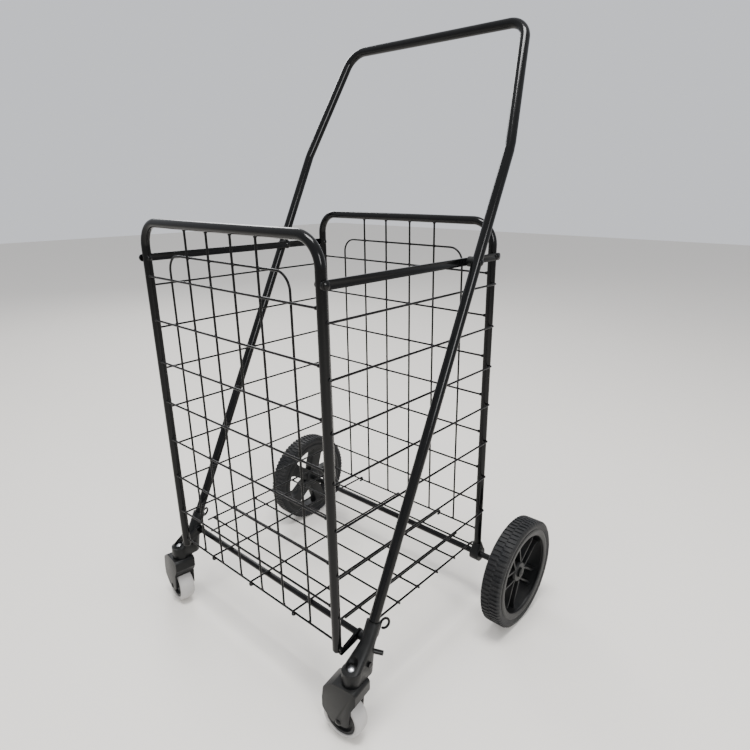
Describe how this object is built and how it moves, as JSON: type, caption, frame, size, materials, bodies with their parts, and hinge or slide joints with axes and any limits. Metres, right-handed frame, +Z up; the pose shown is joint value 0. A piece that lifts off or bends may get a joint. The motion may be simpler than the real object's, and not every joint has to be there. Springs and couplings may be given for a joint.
{
  "type": "folding shopping trolley",
  "caption": "Folding wire-basket shopping trolley with an inclined tube handle, front swivel casters and large rear wheels.",
  "frame": {"origin": "on the floor, under the middle of the trolley's outline", "axes": "+X across the basket to the right as seen from the front, -Y to the front casters, +Z up"},
  "size_m": [0.61, 0.5154, 1.0425],
  "materials": {
    "black_paint": "glossy black powder coat on steel tube, flat bar and fastener heads",
    "black_wire": "satin black coating on steel wire",
    "zinc_steel": "zinc-plated axle and swivel rivets",
    "black_plastic": "moulded black plastic, satin",
    "charcoal_plastic": "moulded charcoal plastic",
    "dark_tyre": "charcoal foam tyre with moulded tread",
    "grey_tyre": "light grey soft tread"
  },
  "bodies": {
    "rear_frame": {"rear_tube": "black_paint", "rear_uprights": "black_wire", "rear_loop": "black_wire", "rear_crosswires": "black_wire", "rear_bottom_wire": "black_wire", "rear_bar_rivets": "black_paint", "rear_foot_left": "black_plastic", "rear_foot_right": "black_plastic", "axle_spacer": "black_paint", "rear_axle": "zinc_steel", "axle_washers": "black_plastic", "axle_caps": "charcoal_plastic"},
    "side_bars": {"side_bar_left": "black_paint", "side_bar_right": "black_paint"},
    "side_wires_1_body": {"side_wires_1": "black_wire"},
    "side_wires_2_body": {"side_wires_2": "black_wire"},
    "side_wires_3_body": {"side_wires_3": "black_wire"},
    "side_wires_4_body": {"side_wires_4": "black_wire"},
    "side_wires_5_body": {"side_wires_5": "black_wire"},
    "side_wires_6_body": {"side_wires_6": "black_wire"},
    "side_wires_7_body": {"side_wires_7": "black_wire"},
    "front_frame": {"front_tube": "black_paint", "front_uprights": "black_wire", "front_loop": "black_wire", "front_crosswires": "black_wire", "front_bottom_wire": "black_wire", "front_bar_rivets": "black_paint", "front_plugs": "black_plastic", "front_studs": "black_paint"},
    "floor_grid": {"floor_hook_wires": "black_wire", "floor_long_wires": "black_wire", "floor_crosswires": "black_wire"},
    "handle_frame": {"handle_tube": "black_paint", "handle_rivets": "black_paint", "handle_bushes": "black_plastic", "bracket_left": "black_plastic", "bracket_right": "black_plastic", "bracket_bolts": "black_paint", "cross_tube": "black_paint", "front_rests": "black_paint", "catch_rings": "black_wire"},
    "caster_left": {"caster_rivet_left": "zinc_steel", "caster_fork_left": "black_plastic", "caster_axle_left": "black_paint"},
    "caster_wheel_left": {"caster_tyre_left": "grey_tyre", "caster_hub_left": "charcoal_plastic"},
    "caster_right": {"caster_rivet_right": "zinc_steel", "caster_fork_right": "black_plastic", "caster_axle_right": "black_paint"},
    "caster_wheel_right": {"caster_tyre_right": "grey_tyre", "caster_hub_right": "charcoal_plastic"},
    "rear_wheel_left": {"wheel_tyre_left": "dark_tyre", "wheel_rim_left": "charcoal_plastic"},
    "rear_wheel_right": {"wheel_tyre_right": "dark_tyre", "wheel_rim_right": "charcoal_plastic"}
  },
  "joints": [
    {"name": "basket_fold", "type": "hinge", "parent": "rear_frame", "child": "side_bars", "pos_m": [0, 0.14364, 0.67735], "axis": [-1, 0, 0], "range_deg": [0, 70]},
    {"name": "side_wires_1_hinge", "type": "hinge", "parent": "rear_frame", "child": "side_wires_1_body", "pos_m": [0, 0.14458, 0.63236], "axis": [-1, 0, 0], "range_deg": [0, 70]},
    {"name": "side_wires_2_hinge", "type": "hinge", "parent": "rear_frame", "child": "side_wires_2_body", "pos_m": [0, 0.14609, 0.56048], "axis": [-1, 0, 0], "range_deg": [0, 70]},
    {"name": "side_wires_3_hinge", "type": "hinge", "parent": "rear_frame", "child": "side_wires_3_body", "pos_m": [0, 0.1476, 0.48859], "axis": [-1, 0, 0], "range_deg": [0, 70]},
    {"name": "side_wires_4_hinge", "type": "hinge", "parent": "rear_frame", "child": "side_wires_4_body", "pos_m": [0, 0.1491, 0.41671], "axis": [-1, 0, 0], "range_deg": [0, 70]},
    {"name": "side_wires_5_hinge", "type": "hinge", "parent": "rear_frame", "child": "side_wires_5_body", "pos_m": [0, 0.15061, 0.34482], "axis": [-1, 0, 0], "range_deg": [0, 70]},
    {"name": "side_wires_6_hinge", "type": "hinge", "parent": "rear_frame", "child": "side_wires_6_body", "pos_m": [0, 0.15211, 0.27294], "axis": [-1, 0, 0], "range_deg": [0, 70]},
    {"name": "side_wires_7_hinge", "type": "hinge", "parent": "rear_frame", "child": "side_wires_7_body", "pos_m": [0, 0.15362, 0.20106], "axis": [-1, 0, 0], "range_deg": [0, 70]},
    {"name": "floor_hinge", "type": "hinge", "parent": "rear_frame", "child": "floor_grid", "pos_m": [0, 0.15458, 0.15497], "axis": [-1, 0, 0], "range_deg": [0, 70]},
    {"name": "front_frame_hinge", "type": "hinge", "parent": "side_bars", "child": "front_frame", "pos_m": [0, -0.24376, 0.67735], "axis": [1, 0, 0], "range_deg": [0, 70]},
    {"name": "handle_hinge", "type": "hinge", "parent": "side_bars", "child": "handle_frame", "pos_m": [0, 0.05679, 0.67735], "axis": [1, 0, 0], "range_deg": [0, 84]},
    {"name": "caster_swivel_left", "type": "hinge", "parent": "handle_frame", "child": "caster_left", "pos_m": [-0.2295, -0.23307, 0.113], "axis": [0, 0, 1], "continuous": true},
    {"name": "caster_spin_left", "type": "hinge", "parent": "caster_left", "child": "caster_wheel_left", "pos_m": [-0.24237, -0.23126, 0.034], "axis": [-0.1392, -0.9903, 0], "continuous": true},
    {"name": "caster_swivel_right", "type": "hinge", "parent": "handle_frame", "child": "caster_right", "pos_m": [0.2295, -0.23307, 0.113], "axis": [0, 0, 1], "continuous": true},
    {"name": "caster_spin_right", "type": "hinge", "parent": "caster_right", "child": "caster_wheel_right", "pos_m": [0.21663, -0.23488, 0.034], "axis": [0.1392, -0.9903, 0], "continuous": true},
    {"name": "rear_wheel_spin_left", "type": "hinge", "parent": "rear_frame", "child": "rear_wheel_left", "pos_m": [-0.286, 0.15573, 0.102], "axis": [1, 0, 0], "continuous": true},
    {"name": "rear_wheel_spin_right", "type": "hinge", "parent": "rear_frame", "child": "rear_wheel_right", "pos_m": [0.286, 0.15573, 0.102], "axis": [1, 0, 0], "continuous": true}
  ],
  "couplings": [
    {"joint": "side_wires_1_hinge", "follows": "basket_fold", "ratio": 1},
    {"joint": "side_wires_2_hinge", "follows": "basket_fold", "ratio": 1},
    {"joint": "side_wires_3_hinge", "follows": "basket_fold", "ratio": 1},
    {"joint": "side_wires_4_hinge", "follows": "basket_fold", "ratio": 1},
    {"joint": "side_wires_5_hinge", "follows": "basket_fold", "ratio": 1},
    {"joint": "side_wires_6_hinge", "follows": "basket_fold", "ratio": 1},
    {"joint": "side_wires_7_hinge", "follows": "basket_fold", "ratio": 1},
    {"joint": "floor_hinge", "follows": "basket_fold", "ratio": 1},
    {"joint": "front_frame_hinge", "follows": "basket_fold", "ratio": 1},
    {"joint": "handle_hinge", "follows": "basket_fold", "ratio": 1.2}
  ]
}
